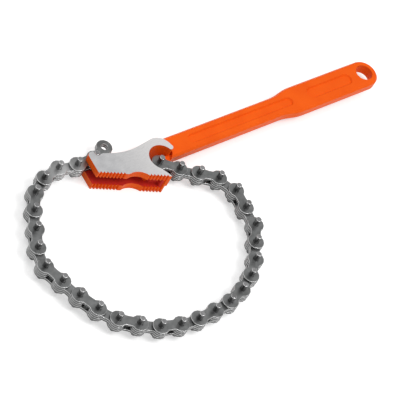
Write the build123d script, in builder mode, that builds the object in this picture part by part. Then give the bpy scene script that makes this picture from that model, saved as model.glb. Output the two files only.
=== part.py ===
from build123d import *
import math
import os

os.makedirs("parts", exist_ok=True)

# Frame: handle along +X, teeth facing -Y, tool lying flat on Z = 0.
# Origin: on the lower ground face of the head, on the handle's centre line.

# Chain sizes, mm
pitch = 19.05
link_count = 30
plate_thickness = 2.4
plate_gap = 0.1
plate_end_radius = 7.6
plate_waist = 9.4
plate_end_sides = 14
pin_radius = 2.6
pin_sides = 12
bore_sides = 8
pin_length = 25.2
bore_clearance = 0.05
end_eye_radius = 3.1

# Head sizes, mm
head_thickness = 25.4
mid_z = head_thickness / 2
slot_width = 10.4
head_left_x = -31.0
horn_top_y = 19.3
top_saddle = (6.0, 8.0)
crown = (34.0, 10.4)
teeth_start = (-33.0, -2.0)
teeth_angle = -24.7
teeth_length = 69.8
tooth_pitch = 3.18
tooth_depth = 1.7
tooth_gap = 2.3
teeth_groups = ((2.4, 8), (50.0, 6))
relief_centre = 38.5
relief_half_width = 9.5
relief_depth = 3.1
notch_radius = 3.1
slot_floor_top = (8.0, 9.5)
slot_floor_mid = (13.5, -12.0)
slot_floor_end = (26.5, -29.4)

# Chain anchor and hook recess, mm
anchor = (34.5, -10.3)
recess_radius = 13.1
recess_tip_angle = 20.0
recess_end_angle = 226.0
lug_radius = 6.3
lug_thickness = 4.9
lug_root = (51.0, -8.4)
lug_root_radius = 1.8
end_pin = (-21.4, 16.4)

# Handle sizes, mm
handle_thickness = 11.0
shank_half_width = 10.7
grip_half_width = 14.4
grip_start_x = 183.0
grip_full_x = 213.0
hang_hole_x = 302.0
hang_hole_radius = 8.75
handle_edge_chamfer = 1.8
pocket_depth = 1.6
shank_pocket_ends = (76.0, 206.0)
shank_pocket_half = 4.8
grip_pocket_ends = (226.0, 284.0)
grip_pocket_half = 6.2

# Headings of the links in the rest loop, degrees, from the anchor to the free end
headings_from_anchor = (-41, -36, -37, -67, -98, -98, -127, -128, -141, -153, -163, -174)
headings_over_base = (-178, -186, -197, -212, -217, -236, -246, -251, -252)
headings_to_notch = (-299, -307, -329, -347, -370, -360)
tab_heading = 24.0


def step(point, heading):
    """The next joint centre, one pitch along a heading."""
    angle = math.radians(heading)
    return (point[0] + pitch * math.cos(angle), point[1] + pitch * math.sin(angle))


def chain_joints():
    """Joint centres from the anchor pin to the free eye, closed by one two-link corner."""
    right = [anchor]
    for heading in headings_from_anchor + headings_over_base:
        right.append(step(right[-1], heading))
    left = [end_pin]
    for heading in reversed(headings_to_notch):
        left.append(step(left[-1], heading + 180))
    start = right[-1]
    finish = left[-1]
    span = math.dist(start, finish)
    middle = ((start[0] + finish[0]) / 2, (start[1] + finish[1]) / 2)
    rise = math.sqrt(pitch ** 2 - (span / 2) ** 2)
    across = ((finish[1] - start[1]) / span, (start[0] - finish[0]) / span)
    corner = (middle[0] - rise * across[0], middle[1] - rise * across[1])
    return right + [corner] + left[::-1] + [step(end_pin, tab_heading)]


def along_teeth(distance, depth=0.0):
    """A point on the tooth line, moved into the head by depth."""
    angle = math.radians(teeth_angle)
    x = teeth_start[0] + distance * math.cos(angle) - depth * math.sin(angle)
    y = teeth_start[1] + distance * math.sin(angle) + depth * math.cos(angle)
    return (x, y)


def around(centre, radius, angle_deg):
    """A point on a circle."""
    angle = math.radians(angle_deg)
    return (centre[0] + radius * math.cos(angle), centre[1] + radius * math.sin(angle))


def plate_shape(bore_sides, bore_size):
    """Waisted chain plate along X, centred between its two bores."""
    shoulder = math.radians(90 + 2 * 360 / plate_end_sides)
    corner_radius = plate_end_radius / math.cos(math.pi / plate_end_sides)
    neck_x = pitch / 2 + corner_radius * math.cos(shoulder)
    neck_y = corner_radius * math.sin(shoulder)
    waist_y = plate_waist / 2
    turn = 180 / plate_end_sides
    with GridLocations(pitch, 1, 2, 1):
        RegularPolygon(plate_end_radius, plate_end_sides, major_radius=False, rotation=turn)
    Polygon(
        (-neck_x, neck_y), (0, waist_y), (neck_x, neck_y),
        (neck_x, -neck_y), (0, -waist_y), (-neck_x, -neck_y),
    )
    with GridLocations(pitch, 1, 2, 1):
        RegularPolygon(bore_size, bore_sides, major_radius=bore_sides == pin_sides, mode=Mode.SUBTRACT)


def link_place(number):
    """The middle of a link and its heading, links counted from the anchor."""
    start = joints[number]
    finish = joints[number + 1]
    heading = math.degrees(math.atan2(finish[1] - start[1], finish[0] - start[0]))
    return Location(((start[0] + finish[0]) / 2, (start[1] + finish[1]) / 2, mid_z), (0, 0, heading))


def save(built, name):
    """Label a finished piece and write it out."""
    built.part.label = name
    export_step(built.part, "parts/" + name + ".step")


joints = chain_joints()
arm_tip = along_teeth(teeth_length)
arm_shoulder = (29.2, -27.0)
horn_left = (head_left_x - 0.2, 17.0)
horn_corner = (-28.9, horn_top_y)
horn_right = (end_pin[0] - notch_radius, horn_top_y)
notch_left = around(end_pin, notch_radius, 180)
notch_bottom = around(end_pin, notch_radius, 250)
notch_right = around(end_pin, notch_radius, 306)
notch_lip = (-16.8, 13.9)
hook_side = (46.6, 6.6)
hook_nose = (50.6, -2.0)
hook_under = (49.7, -6.0)
recess_start = around(anchor, recess_radius, recess_tip_angle)
recess_back = around(anchor, recess_radius, 130)
recess_end = around(anchor, recess_radius, recess_end_angle)
handle_low_z = mid_z - handle_thickness / 2
handle_top_z = mid_z + handle_thickness / 2
chin = (47.3, -11.7)
pockets = ((shank_pocket_ends, shank_pocket_half), (grip_pocket_ends, grip_pocket_half))

# Handle blank: shank, grip, round end and the web that runs under the hook
with BuildPart() as handle_blank:
    with BuildSketch(Plane.XY.offset(handle_low_z)):
        with BuildLine():
            Line((36, shank_half_width), (grip_start_x, shank_half_width))
            Bezier(
                (grip_start_x, shank_half_width),
                (grip_start_x + 14, shank_half_width),
                (grip_full_x - 14, grip_half_width),
                (grip_full_x, grip_half_width),
            )
            Line((grip_full_x, grip_half_width), (hang_hole_x, grip_half_width))
            ThreePointArc(
                (hang_hole_x, grip_half_width),
                (hang_hole_x + grip_half_width, 0),
                (hang_hole_x, -grip_half_width),
            )
            Line((hang_hole_x, -grip_half_width), (grip_full_x, -grip_half_width))
            Bezier(
                (grip_full_x, -grip_half_width),
                (grip_full_x - 14, -grip_half_width),
                (grip_start_x + 14, -shank_half_width),
                (grip_start_x, -shank_half_width),
            )
            Line((grip_start_x, -shank_half_width), (56, -shank_half_width))
            Spline((56, -shank_half_width), (50.5, -10.9), chin)
            Spline(chin, (50.6, -8.2), (52.6, -4.6), (50.2, -0.8))
            Line((50.2, -0.8), (46, 2))
            Line((46, 2), (36, shank_half_width))
        make_face()
    extrude(amount=handle_thickness)
    rims = [e for e in handle_blank.edges().filter_by(GeomType.LINE, reverse=True) if e.center().X > 150]
    rims += [e for e in handle_blank.edges().filter_by(Axis.X) if e.length > 60]
    chamfer(rims, handle_edge_chamfer)

# Tool body: toothed head with its chain slot, hook recess, anchor lug and handle
with BuildPart() as tool_body:
    with BuildSketch():
        with BuildLine():
            Line(teeth_start, horn_left)
            Line(horn_left, horn_corner)
            Line(horn_corner, horn_right)
            Line(horn_right, notch_left)
            ThreePointArc(notch_left, notch_bottom, notch_right)
            Line(notch_right, notch_lip)
            Spline(notch_lip, (-5.2, 9.9), (8.0, 7.8), (22.0, 8.7), crown)
            ThreePointArc(crown, hook_side, hook_nose)
            ThreePointArc(hook_nose, hook_under, recess_start)
            ThreePointArc(recess_start, recess_back, recess_end)
            Line(recess_end, arm_shoulder)
            Line(arm_shoulder, arm_tip)
            Line(arm_tip, teeth_start)
        make_face()
        relief_radius = (relief_half_width ** 2 + relief_depth ** 2) / (2 * relief_depth)
        with Locations(along_teeth(relief_centre, relief_depth - relief_radius)):
            Circle(relief_radius, mode=Mode.SUBTRACT)
        for first, count in teeth_groups:
            for tooth in range(count):
                place = first + tooth * tooth_pitch
                Polygon(
                    along_teeth(place - tooth_gap / 2, -0.2),
                    along_teeth(place, tooth_depth),
                    along_teeth(place + tooth_gap / 2, -0.2),
                    align=None,
                    mode=Mode.SUBTRACT,
                )
    extrude(amount=head_thickness)
    with BuildSketch(Plane.XY.offset(mid_z - slot_width / 2)):
        with BuildLine():
            ThreePointArc(slot_floor_top, slot_floor_mid, slot_floor_end)
            Polyline(slot_floor_end, (26.5, -60), (-60, -60), (-60, 40), (8.0, 40), slot_floor_top)
        make_face()
    extrude(amount=slot_width, mode=Mode.SUBTRACT)
    add(handle_blank.part)
    with BuildSketch(Plane.XY.offset(mid_z - lug_thickness / 2)):
        with Locations(anchor):
            Circle(lug_radius)
        with Locations(lug_root):
            Circle(lug_root_radius)
        make_hull()
    extrude(amount=lug_thickness)
    with Locations((anchor[0], anchor[1], mid_z)):
        Cylinder(pin_radius + bore_clearance, lug_thickness + 1, mode=Mode.SUBTRACT)
    with Locations((hang_hole_x, 0, mid_z)):
        Cylinder(hang_hole_radius, handle_thickness + 1, mode=Mode.SUBTRACT)
    for face_z, inward in ((handle_top_z, -1), (handle_low_z, 1)):
        with BuildSketch(Plane.XY.offset(face_z)):
            for ends, half in pockets:
                with Locations(((ends[0] + ends[1]) / 2, 0)):
                    SlotOverall(ends[1] - ends[0], 2 * half)
        extrude(amount=inward * pocket_depth, taper=35, mode=Mode.SUBTRACT)
save(tool_body, "tool_body")

# Outer links: two spaced plates and the two pins pressed through them
for number in range(0, link_count, 2):
    place = link_place(number)
    tag = format(number // 2 + 1, "02d")
    with BuildPart() as outer_plates:
        for level in (plate_gap * 1.5 + plate_thickness, -plate_gap * 1.5 - 2 * plate_thickness):
            with BuildSketch(Plane(place).offset(level)):
                plate_shape(pin_sides, pin_radius)
            extrude(amount=plate_thickness)
    save(outer_plates, "outer_plates_" + tag)
    with BuildPart() as link_pins:
        with BuildSketch(Plane(place).offset(-pin_length / 2)):
            with GridLocations(pitch, 1, 2, 1):
                RegularPolygon(pin_radius, pin_sides)
        extrude(amount=pin_length)
    save(link_pins, "link_pins_" + tag)

# Inner links: two plates side by side, the last pair ending in the free eye
for number in range(1, link_count, 2):
    tag = format(number // 2 + 1, "02d")
    with BuildPart() as inner_plates:
        for level in (plate_gap / 2, -plate_gap / 2 - plate_thickness):
            with BuildSketch(Plane(link_place(number)).offset(level)):
                plate_shape(bore_sides, pin_radius + bore_clearance)
                if number == link_count - 1:
                    with Locations((pitch / 2, 0)):
                        Circle(end_eye_radius, mode=Mode.SUBTRACT)
            extrude(amount=plate_thickness)
    save(inner_plates, "inner_plates_" + tag)
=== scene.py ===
import math

import bpy
from mathutils import Matrix, Vector


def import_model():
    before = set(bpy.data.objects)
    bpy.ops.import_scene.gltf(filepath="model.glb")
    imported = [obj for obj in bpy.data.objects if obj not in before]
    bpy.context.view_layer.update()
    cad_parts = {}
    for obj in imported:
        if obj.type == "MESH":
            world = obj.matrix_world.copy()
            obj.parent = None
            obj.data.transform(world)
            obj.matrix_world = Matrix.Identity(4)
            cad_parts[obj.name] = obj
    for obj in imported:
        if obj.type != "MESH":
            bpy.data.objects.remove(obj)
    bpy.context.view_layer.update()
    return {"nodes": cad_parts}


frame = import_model()
nodes = frame["nodes"]

MM = 0.001
WHITE = (1.0, 1.0, 1.0, 1.0)

# Camera: the photograph's viewpoint, worked out from the chain's pitch and the handle's edges
CAM_TARGET = Vector((0.0500, -0.0569, 0.0127))
CAM_DISTANCE = 1.887
CAM_HEADING = math.radians(208.0)
CAM_ELEVATION = math.radians(48.2)
CAM_ROLL = math.radians(32.4)
CAM_LENS = 190.5
CAM_SENSOR = 36.0
CAM_CLIP = (0.05, 30.0)

# Floor and light
FLOOR_HALF = 6.0
FLOOR_DROP = 0.1 * MM
FLOOR_COLOUR = (0.82, 0.82, 0.82, 1.0)
FLOOR_LIFT = 0.40
WORLD_STRENGTH = 0.60

# Head sizes, from the CAD model
HEAD_THICKNESS = 25.4 * MM
HEAD_MIDDLE = HEAD_THICKNESS / 2
SLOT_WIDTH = 10.4 * MM
TEETH_START = (-33.0 * MM, -2.0 * MM)
TEETH_ANGLE = math.radians(-24.7)

# The slot's right end, cut behind the last teeth: from, to and depth, along the toothed edge
SLOT_CUT = (50.0 * MM, 62.5 * MM, 4.6 * MM)
# The lower cheek stops short of the upper one
SHORT_CHEEK_END = 68.2 * MM
SHORT_CHEEK_TOP = 10.3 * MM
SHORT_CHEEK_RISE = 4.2 * MM
CHEEK_END_HEADING = math.radians(106.0)
CUT_SPARE = 3.0 * MM

# Where each finish of the head, the ground faces' painted sheen and the slot's painted shade
# begin and end
GROUND_BAND = 0.04 * MM
GROUND_SHEEN_BAND = (-15.0 * MM, 35.0 * MM)
SLOT_MAIN_END = 15.0 * MM
SLOT_TEETH_END = 27.2 * MM
SLOT_TEETH_DEPTH = 6.5 * MM

# Enamel
ENAMEL_DEEP = (0.815, 0.094, 0.0045)
ENAMEL_BRIGHT = (0.885, 0.118, 0.0060)
ENAMEL_SPECK = (0.64, 0.055, 0.004)
ENAMEL_ROUGH = (0.30, 0.42)
ENAMEL_SPECULAR = 0.08
# Painted shade in the slot: its deeper red, and how far it is laid over the enamel
SLOT_SHADE_RED = (0.52, 0.015, 0.022)
SLOT_SHADE_SHARE = 0.85

# Ground steel of the head's side faces
GROUND_DARK = (0.56, 0.56, 0.57)
GROUND_LIGHT = (0.70, 0.70, 0.705)
# Painted sheen colour, laid on the ground steel towards the hook
GROUND_SHEEN = (0.90, 0.88, 0.87)
GROUND_STREAK = (0.40, 0.40, 0.41)
GROUND_SCORE = (0.30, 0.29, 0.29)
GROUND_ROUGH = (0.38, 0.58)
GROUND_METAL = 0.85
GRINDING_HEADING = math.radians(-62.0)

# Chain steel
# The links beside the notch are painted lighter: the point they centre on, the reach and share
# of the lightening, and its colour
NOTCH_LINKS = (-57.0 * MM, 6.0 * MM, HEAD_MIDDLE)
NOTCH_LIGHTENING_REACH = (10.0 * MM, 25.0 * MM)
NOTCH_LIGHTENING_SHARE = 0.85
NOTCH_LIGHTENING_STEEL = (0.70, 0.70, 0.70)
# Painted shade laid on the chain's upright walls
WALL_SHADE = (0.055, 0.055, 0.055)
SCRATCH_HEADING = math.radians(24.0)

# Fine relief: strength and depth
TOOL_RELIEF = (0.35, 0.05 * MM)
CHAIN_RELIEF = (0.30, 0.04 * MM)

# Rounded edges
TOOL_EDGE = 0.5 * MM
CHAIN_EDGE = 0.4 * MM
EDGE_SEGMENTS = 2
SHARP_ANGLE = math.radians(40.0)
FLAT_ANGLE = math.radians(0.4)
JOIN_DISTANCE = 0.002 * MM
NORMAL_WEIGHT = 80


# Node helpers
def put(tree, socket, value):
    """Links a socket, or sets a constant on it."""
    if isinstance(value, bpy.types.NodeSocket):
        tree.links.new(value, socket)
    elif socket.type == "RGBA":
        socket.default_value = (*value, 1.0)
    else:
        socket.default_value = value


def new_material(name):
    """An empty node material with its Principled shader wired to the output."""
    mat = bpy.data.materials.new(name)
    mat.use_nodes = True
    tree = mat.node_tree
    tree.nodes.clear()
    out = tree.nodes.new("ShaderNodeOutputMaterial")
    shader = tree.nodes.new("ShaderNodeBsdfPrincipled")
    tree.links.new(shader.outputs["BSDF"], out.inputs["Surface"])
    return mat, tree, shader


def math_node(tree, operation, a, b=0.0):
    node = tree.nodes.new("ShaderNodeMath")
    node.operation = operation
    put(tree, node.inputs[0], a)
    put(tree, node.inputs[1], b)
    return node.outputs[0]


def vector_node(tree, operation, vector, constant):
    """A vector operation that gives one value."""
    node = tree.nodes.new("ShaderNodeVectorMath")
    node.operation = operation
    tree.links.new(vector, node.inputs[0])
    node.inputs[1].default_value = constant
    return node.outputs["Value"]


def split(tree, vector):
    node = tree.nodes.new("ShaderNodeSeparateXYZ")
    tree.links.new(vector, node.inputs[0])
    return node.outputs


def object_point(tree, scale=(1.0, 1.0, 1.0), heading=0.0):
    """Object coordinates in metres, turned about Z and scaled."""
    coord = tree.nodes.new("ShaderNodeTexCoord")
    mapping = tree.nodes.new("ShaderNodeMapping")
    mapping.inputs["Rotation"].default_value = (0.0, 0.0, heading)
    mapping.inputs["Scale"].default_value = scale
    tree.links.new(coord.outputs["Object"], mapping.inputs["Vector"])
    return mapping.outputs["Vector"]


def noise(tree, vector, scale, detail, roughness=0.5, distortion=0.0):
    node = tree.nodes.new("ShaderNodeTexNoise")
    node.inputs["Scale"].default_value = scale
    node.inputs["Detail"].default_value = detail
    node.inputs["Roughness"].default_value = roughness
    node.inputs["Distortion"].default_value = distortion
    tree.links.new(vector, node.inputs["Vector"])
    return node.outputs["Fac"]


def ramp(tree, value, band, low, high):
    """Runs from one colour to another across a band of a value."""
    node = tree.nodes.new("ShaderNodeValToRGB")
    for element, position, colour in zip(node.color_ramp.elements, band, (low, high)):
        element.position = position
        element.color = (*colour, 1.0)
    tree.links.new(value, node.inputs["Fac"])
    return node.outputs["Color"]


def span(tree, value, band, result):
    """Maps a band of a value onto another range, clamped."""
    node = tree.nodes.new("ShaderNodeMapRange")
    node.clamp = True
    put(tree, node.inputs["Value"], value)
    node.inputs["From Min"].default_value = band[0]
    node.inputs["From Max"].default_value = band[1]
    node.inputs["To Min"].default_value = result[0]
    node.inputs["To Max"].default_value = result[1]
    return node.outputs["Result"]


def mix_colour(tree, factor, a, b):
    node = tree.nodes.new("ShaderNodeMix")
    node.data_type = "RGBA"
    put(tree, node.inputs[0], factor)
    put(tree, node.inputs[6], a)
    put(tree, node.inputs[7], b)
    return node.outputs[2]


def mix_value(tree, factor, a, b):
    node = tree.nodes.new("ShaderNodeMix")
    node.data_type = "FLOAT"
    put(tree, node.inputs[0], factor)
    put(tree, node.inputs[2], a)
    put(tree, node.inputs[3], b)
    return node.outputs[0]


def tint(tree, colour, over, value, band, share):
    """Lays a colour over another where a value passes up through a band."""
    return mix_colour(tree, span(tree, value, band, (0.0, share)), colour, over)


def bump(tree, shader, height, relief):
    strength, depth = relief
    node = tree.nodes.new("ShaderNodeBump")
    node.inputs["Strength"].default_value = strength
    node.inputs["Distance"].default_value = depth
    tree.links.new(height, node.inputs["Height"])
    tree.links.new(node.outputs["Normal"], shader.inputs["Normal"])


# Materials
def behind_teeth(tree, here):
    """Distance behind the toothed edge's line, in metres."""
    inward = (-math.sin(TEETH_ANGLE), math.cos(TEETH_ANGLE), 0.0)
    start = TEETH_START[0] * inward[0] + TEETH_START[1] * inward[1]
    return math_node(tree, "SUBTRACT", vector_node(tree, "DOT_PRODUCT", here, inward), start)


def slot_mask(tree, here, off_middle):
    """1 inside the slot between the cheeks, and 0 elsewhere."""
    x = split(tree, here)[0]
    in_slot = math_node(tree, "LESS_THAN", off_middle, SLOT_WIDTH / 2 + GROUND_BAND)
    in_head = math_node(tree, "LESS_THAN", x, SLOT_MAIN_END)
    by_teeth = math_node(tree, "LESS_THAN", x, SLOT_TEETH_END)
    shallow = math_node(tree, "LESS_THAN", behind_teeth(tree, here), SLOT_TEETH_DEPTH)
    right_end = math_node(tree, "MULTIPLY", by_teeth, shallow)
    return math_node(tree, "MULTIPLY", in_slot, math_node(tree, "MAXIMUM", in_head, right_end))


def tool_material():
    """Orange enamel over a forging, with the head's two side faces ground to bare steel."""
    mat, tree, shader = new_material("orange_enamel_and_ground_steel")
    here = object_point(tree)
    x, _, z = split(tree, here)
    # The ground faces are the two flats at the head's full thickness
    off_middle = math_node(tree, "ABSOLUTE", math_node(tree, "SUBTRACT", z, HEAD_MIDDLE))
    ground = math_node(tree, "GREATER_THAN", off_middle, HEAD_MIDDLE - GROUND_BAND)

    # Enamel: a little unevenness in colour and gloss, and a fine sprayed skin
    cloud = noise(tree, here, scale=55.0, detail=4.0)
    speck = noise(tree, here, scale=900.0, detail=2.0)
    skin = noise(tree, here, scale=1500.0, detail=2.0, roughness=0.6)
    swell = noise(tree, here, scale=260.0, detail=2.0)
    enamel = ramp(tree, cloud, (0.25, 0.75), ENAMEL_DEEP, ENAMEL_BRIGHT)
    enamel = tint(tree, enamel, ENAMEL_SPECK, speck, band=(0.62, 0.80), share=0.22)
    # Painted shade: the enamel in the slot between the cheeks is darkened to a deeper red
    slot_shade = math_node(tree, "MULTIPLY", slot_mask(tree, here, off_middle), SLOT_SHADE_SHARE)
    enamel = mix_colour(tree, slot_shade, enamel, SLOT_SHADE_RED)
    enamel_rough = span(tree, cloud, (0.2, 0.8), ENAMEL_ROUGH)

    # Ground steel: fine streaks one way, broad mottling, a few darker scores, and a painted
    # sheen that brightens it towards the hook
    streak_point = object_point(tree, (260.0, 2600.0, 260.0), GRINDING_HEADING)
    streaks = noise(tree, streak_point, scale=1.0, detail=3.0, roughness=0.65)
    mottle = noise(tree, here, scale=150.0, detail=5.0, roughness=0.6)
    scores = noise(tree, streak_point, scale=0.33, detail=2.0, roughness=0.4, distortion=0.2)
    steel = ramp(tree, mottle, (0.28, 0.72), GROUND_DARK, GROUND_LIGHT)
    # Painted sheen: the ground steel is lightened along X towards the hook
    steel = tint(tree, steel, GROUND_SHEEN, x, band=GROUND_SHEEN_BAND, share=0.95)
    steel = tint(tree, steel, GROUND_STREAK, streaks, band=(0.35, 0.75), share=0.35)
    steel = tint(tree, steel, GROUND_SCORE, scores, band=(0.70, 0.80), share=0.5)
    steel_rough = span(tree, streaks, (0.25, 0.75), GROUND_ROUGH)

    put(tree, shader.inputs["Base Color"], mix_colour(tree, ground, enamel, steel))
    put(tree, shader.inputs["Roughness"], mix_value(tree, ground, enamel_rough, steel_rough))
    put(tree, shader.inputs["Metallic"], mix_value(tree, ground, 0.0, GROUND_METAL))
    put(tree, shader.inputs["Specular IOR Level"], ENAMEL_SPECULAR)
    coat = mix_value(tree, 0.5, skin, swell)
    bump(tree, shader, mix_value(tree, ground, coat, streaks), TOOL_RELIEF)
    return mat


def flatness(tree):
    """1 on a face that lies flat, 0 on an upright wall."""
    geometry = tree.nodes.new("ShaderNodeNewGeometry")
    return math_node(tree, "ABSOLUTE", split(tree, geometry.outputs["Normal"])[2])


def rim_mask(tree, flat):
    """1 on the rounded rims, where a face turns from flat to upright, and 0 elsewhere."""
    rise = span(tree, flat, (0.22, 0.42), (0.0, 1.0))
    fall = span(tree, flat, (0.93, 0.98), (1.0, 0.0))
    return math_node(tree, "MULTIPLY", rise, fall)


def chain_material(name, dark, light, stain, rim, rough, wall):
    """Punched steel: soft mottling, oil stain and fine scratches, lighter near the notch, with a
    painted highlight on the rims and painted shade on the upright walls.
    """
    mat, tree, shader = new_material(name)
    here = object_point(tree)
    mottle = noise(tree, here, scale=170.0, detail=5.0, roughness=0.6)
    patch = noise(tree, here, scale=60.0, detail=3.0, distortion=0.4)
    scratch_point = object_point(tree, (350.0, 2400.0, 900.0), SCRATCH_HEADING)
    scratches = noise(tree, scratch_point, scale=1.0, detail=2.0, roughness=0.7)
    pits = noise(tree, here, scale=1100.0, detail=3.0, roughness=0.6)
    colour = ramp(tree, mottle, (0.30, 0.70), dark, light)
    colour = tint(tree, colour, stain, patch, band=(0.50, 0.72), share=0.55)
    colour = tint(tree, colour, light, scratches, band=(0.66, 0.76), share=0.45)
    # The links beside the notch are painted lighter, fading out with distance from it
    away = vector_node(tree, "DISTANCE", here, NOTCH_LINKS)
    notch_lightening = span(tree, away, NOTCH_LIGHTENING_REACH, (NOTCH_LIGHTENING_SHARE, 0.0))
    colour = mix_colour(tree, notch_lightening, colour, NOTCH_LIGHTENING_STEEL)
    # Painted shade: the upright walls are darkened towards near black
    flat = flatness(tree)
    colour = mix_colour(tree, span(tree, flat, (0.15, 0.55), (wall, 0.0)), colour, WALL_SHADE)
    # Painted highlight: the rounded rims are lightened, patchy with the mottling
    rim_highlight_patches = span(tree, mottle, (0.2, 0.6), (0.55, 1.0))
    rim_highlight = math_node(tree, "MULTIPLY", rim_mask(tree, flat), rim_highlight_patches)
    colour = mix_colour(tree, rim_highlight, colour, rim)
    put(tree, shader.inputs["Base Color"], colour)
    put(tree, shader.inputs["Metallic"], 1.0)
    put(tree, shader.inputs["Roughness"], span(tree, mottle, (0.25, 0.75), rough))
    bump(tree, shader, mix_value(tree, 0.5, pits, scratches), CHAIN_RELIEF)
    return mat


# Edges and the jaws' ends
def on_teeth(along, across):
    """A point given along and behind the toothed edge."""
    return (
        TEETH_START[0] + along * math.cos(TEETH_ANGLE) - across * math.sin(TEETH_ANGLE),
        TEETH_START[1] + along * math.sin(TEETH_ANGLE) + across * math.cos(TEETH_ANGLE),
    )


def cut_box(group, solid, size, centre, turn):
    """Takes a turned box out of a solid."""
    box = group.nodes.new("GeometryNodeMeshCube")
    box.inputs["Size"].default_value = size
    place = group.nodes.new("GeometryNodeTransform")
    place.inputs["Translation"].default_value = centre
    place.inputs["Rotation"].default_value = (0.0, 0.0, turn)
    cut = group.nodes.new("GeometryNodeMeshBoolean")
    cut.operation = "DIFFERENCE"
    cut.solver = "EXACT"
    group.links.new(box.outputs[0], place.inputs[0])
    group.links.new(solid, cut.inputs["Mesh 1"])
    group.links.new(place.outputs[0], cut.inputs["Mesh 2"])
    return cut.outputs[0]


def cut_slot_end(group, solid):
    """Carries the slot on behind the last teeth."""
    first, last, depth = SLOT_CUT
    size = (last - first, depth + CUT_SPARE, SLOT_WIDTH)
    middle = on_teeth((first + last) / 2, (depth - CUT_SPARE) / 2)
    return cut_box(group, solid, size, (*middle, HEAD_MIDDLE), TEETH_ANGLE)


def cut_lower_cheek(group, solid):
    """Takes the lower cheek's end off, along the line of the upper one's end."""
    size = (2 * CUT_SPARE, SHORT_CHEEK_RISE + CUT_SPARE, SHORT_CHEEK_TOP + CUT_SPARE)
    turn = CHEEK_END_HEADING - math.pi / 2
    out, up = size[0] / 2, (SHORT_CHEEK_RISE - CUT_SPARE) / 2
    corner = on_teeth(SHORT_CHEEK_END, 0.0)
    middle = (
        corner[0] + out * math.cos(turn) - up * math.sin(turn),
        corner[1] + out * math.sin(turn) + up * math.cos(turn),
        SHORT_CHEEK_TOP - size[2] / 2,
    )
    return cut_box(group, solid, size, middle, turn)


def join_points_group(name, cuts=()):
    """Joins the doubled points, so that a bevel can run round the edges, and makes the cuts."""
    group = bpy.data.node_groups.new(name, "GeometryNodeTree")
    for way in ("INPUT", "OUTPUT"):
        group.interface.new_socket("Geometry", in_out=way, socket_type="NodeSocketGeometry")
    start = group.nodes.new("NodeGroupInput")
    end = group.nodes.new("NodeGroupOutput")
    drop = group.nodes.new("GeometryNodeRemoveAttribute")
    drop.inputs["Name"].default_value = "custom_normal"
    merge = group.nodes.new("GeometryNodeMergeByDistance")
    merge.inputs["Distance"].default_value = JOIN_DISTANCE
    smooth = group.nodes.new("GeometryNodeSetShadeSmooth")
    group.links.new(start.outputs[0], drop.inputs[0])
    group.links.new(drop.outputs[0], merge.inputs[0])
    solid = merge.outputs[0]
    for cut in cuts:
        solid = cut(group, solid)
    group.links.new(solid, smooth.inputs[0])
    group.links.new(smooth.outputs[0], end.inputs[0])
    return group


def dress(obj, material, group, width):
    """Gives a piece its material and rounds its sharp edges by a small real bevel."""
    obj.data.materials.clear()
    obj.data.materials.append(material)
    joined = obj.modifiers.new("join_points", "NODES")
    joined.node_group = group
    flat = obj.modifiers.new("flats", "DECIMATE")
    flat.decimate_type = "DISSOLVE"
    flat.angle_limit = FLAT_ANGLE
    edge = obj.modifiers.new("edges", "BEVEL")
    edge.width = width
    edge.segments = EDGE_SEGMENTS
    edge.limit_method = "ANGLE"
    edge.angle_limit = SHARP_ANGLE
    edge.use_clamp_overlap = True
    shade = obj.modifiers.new("normals", "WEIGHTED_NORMAL")
    shade.keep_sharp = True
    shade.weight = NORMAL_WEIGHT


def dress_all():
    tool = tool_material()
    plate = chain_material(
        "chain_plate_steel",
        dark=(0.21, 0.215, 0.215),
        light=(0.31, 0.315, 0.315),
        stain=(0.13, 0.13, 0.125),
        rim=(0.78, 0.78, 0.78),
        rough=(0.28, 0.42),
        wall=0.75,
    )
    pin = chain_material(
        "chain_pin_steel",
        dark=(0.32, 0.32, 0.325),
        light=(0.46, 0.46, 0.465),
        stain=(0.20, 0.195, 0.19),
        rim=(0.80, 0.80, 0.80),
        rough=(0.20, 0.32),
        wall=0.80,
    )
    join = join_points_group("join_points")
    join_and_cut = join_points_group("join_points_and_jaw_ends", (cut_slot_end, cut_lower_cheek))
    for name in sorted(nodes):
        if name == "tool_body":
            dress(nodes[name], tool, join_and_cut, TOOL_EDGE)
        elif name.startswith("link_pins"):
            dress(nodes[name], pin, join, CHAIN_EDGE)
        else:
            dress(nodes[name], plate, join, CHAIN_EDGE)


# Floor, light and camera
def floor():
    """A white floor that keeps the object's shadow and is lifted only where it is seen."""
    corners = [(-1, -1), (1, -1), (1, 1), (-1, 1)]
    mesh = bpy.data.meshes.new("floor")
    points = [(FLOOR_HALF * x, FLOOR_HALF * y, 0.0) for x, y in corners]
    mesh.from_pydata(points, [], [(0, 1, 2, 3)])
    obj = bpy.data.objects.new("floor", mesh)
    obj.location.z = -FLOOR_DROP
    bpy.context.scene.collection.objects.link(obj)
    mat = bpy.data.materials.new("white_floor")
    mat.use_nodes = True
    tree = mat.node_tree
    tree.nodes.clear()
    out = tree.nodes.new("ShaderNodeOutputMaterial")
    matte = tree.nodes.new("ShaderNodeBsdfDiffuse")
    matte.inputs["Color"].default_value = FLOOR_COLOUR
    glow = tree.nodes.new("ShaderNodeEmission")
    glow.inputs["Color"].default_value = WHITE
    both = tree.nodes.new("ShaderNodeAddShader")
    path = tree.nodes.new("ShaderNodeLightPath").outputs
    seen = math_node(tree, "MAXIMUM", path["Is Camera Ray"], path["Is Glossy Ray"])
    seen = math_node(tree, "MAXIMUM", seen, path["Is Transmission Ray"])
    put(tree, glow.inputs["Strength"], math_node(tree, "MULTIPLY", seen, FLOOR_LIFT))
    tree.links.new(matte.outputs[0], both.inputs[0])
    tree.links.new(glow.outputs[0], both.inputs[1])
    tree.links.new(both.outputs[0], out.inputs["Surface"])
    mesh.materials.append(mat)


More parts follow.
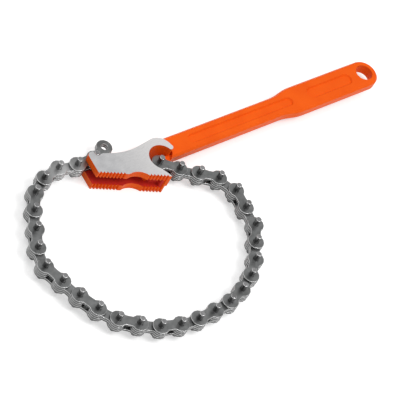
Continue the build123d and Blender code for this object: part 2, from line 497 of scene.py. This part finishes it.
def world():
    """Even white light all round, and plain white where the camera sees past the floor."""
    env = bpy.data.worlds.new("studio")
    env.use_nodes = True
    tree = env.node_tree
    tree.nodes.clear()
    out = tree.nodes.new("ShaderNodeOutputWorld")
    back = tree.nodes.new("ShaderNodeBackground")
    back.inputs["Color"].default_value = WHITE
    path = tree.nodes.new("ShaderNodeLightPath")
    level = mix_value(tree, path.outputs["Is Camera Ray"], WORLD_STRENGTH, 1.0)
    put(tree, back.inputs["Strength"], level)
    tree.links.new(back.outputs[0], out.inputs["Surface"])
    bpy.context.scene.world = env


def area_light(name, place, aim, size, power):
    data = bpy.data.lights.new(name, "AREA")
    data.shape = "DISK"
    data.size = size
    data.energy = power
    obj = bpy.data.objects.new(name, data)
    obj.location = place
    direction = Vector(aim) - Vector(place)
    obj.rotation_euler = direction.to_track_quat("-Z", "Y").to_euler()
    bpy.context.scene.collection.objects.link(obj)


def camera():
    back = Vector((
        math.cos(CAM_ELEVATION) * math.cos(CAM_HEADING),
        math.cos(CAM_ELEVATION) * math.sin(CAM_HEADING),
        math.sin(CAM_ELEVATION),
    ))
    level_right = Vector((-math.sin(CAM_HEADING), math.cos(CAM_HEADING), 0.0))
    level_up = back.cross(level_right)
    right = level_right * math.cos(CAM_ROLL) + level_up * math.sin(CAM_ROLL)
    up = back.cross(right)
    turn = Matrix((right, up, back)).transposed().to_4x4()
    data = bpy.data.cameras.new("camera")
    data.lens = CAM_LENS
    data.sensor_width = CAM_SENSOR
    data.clip_start, data.clip_end = CAM_CLIP
    obj = bpy.data.objects.new("camera", data)
    obj.matrix_world = Matrix.Translation(CAM_TARGET + back * CAM_DISTANCE) @ turn
    bpy.context.scene.collection.objects.link(obj)
    bpy.context.scene.camera = obj


dress_all()
floor()
world()
area_light("key", place=(0.33, -0.80, 1.69), aim=(0.05, -0.05, 0.0), size=0.9, power=14.0)
area_light("top", place=(-0.30, 0.55, 1.75), aim=(0.05, -0.02, 0.0), size=1.2, power=6.0)
camera()
bpy.context.scene.view_settings.view_transform = "Standard"
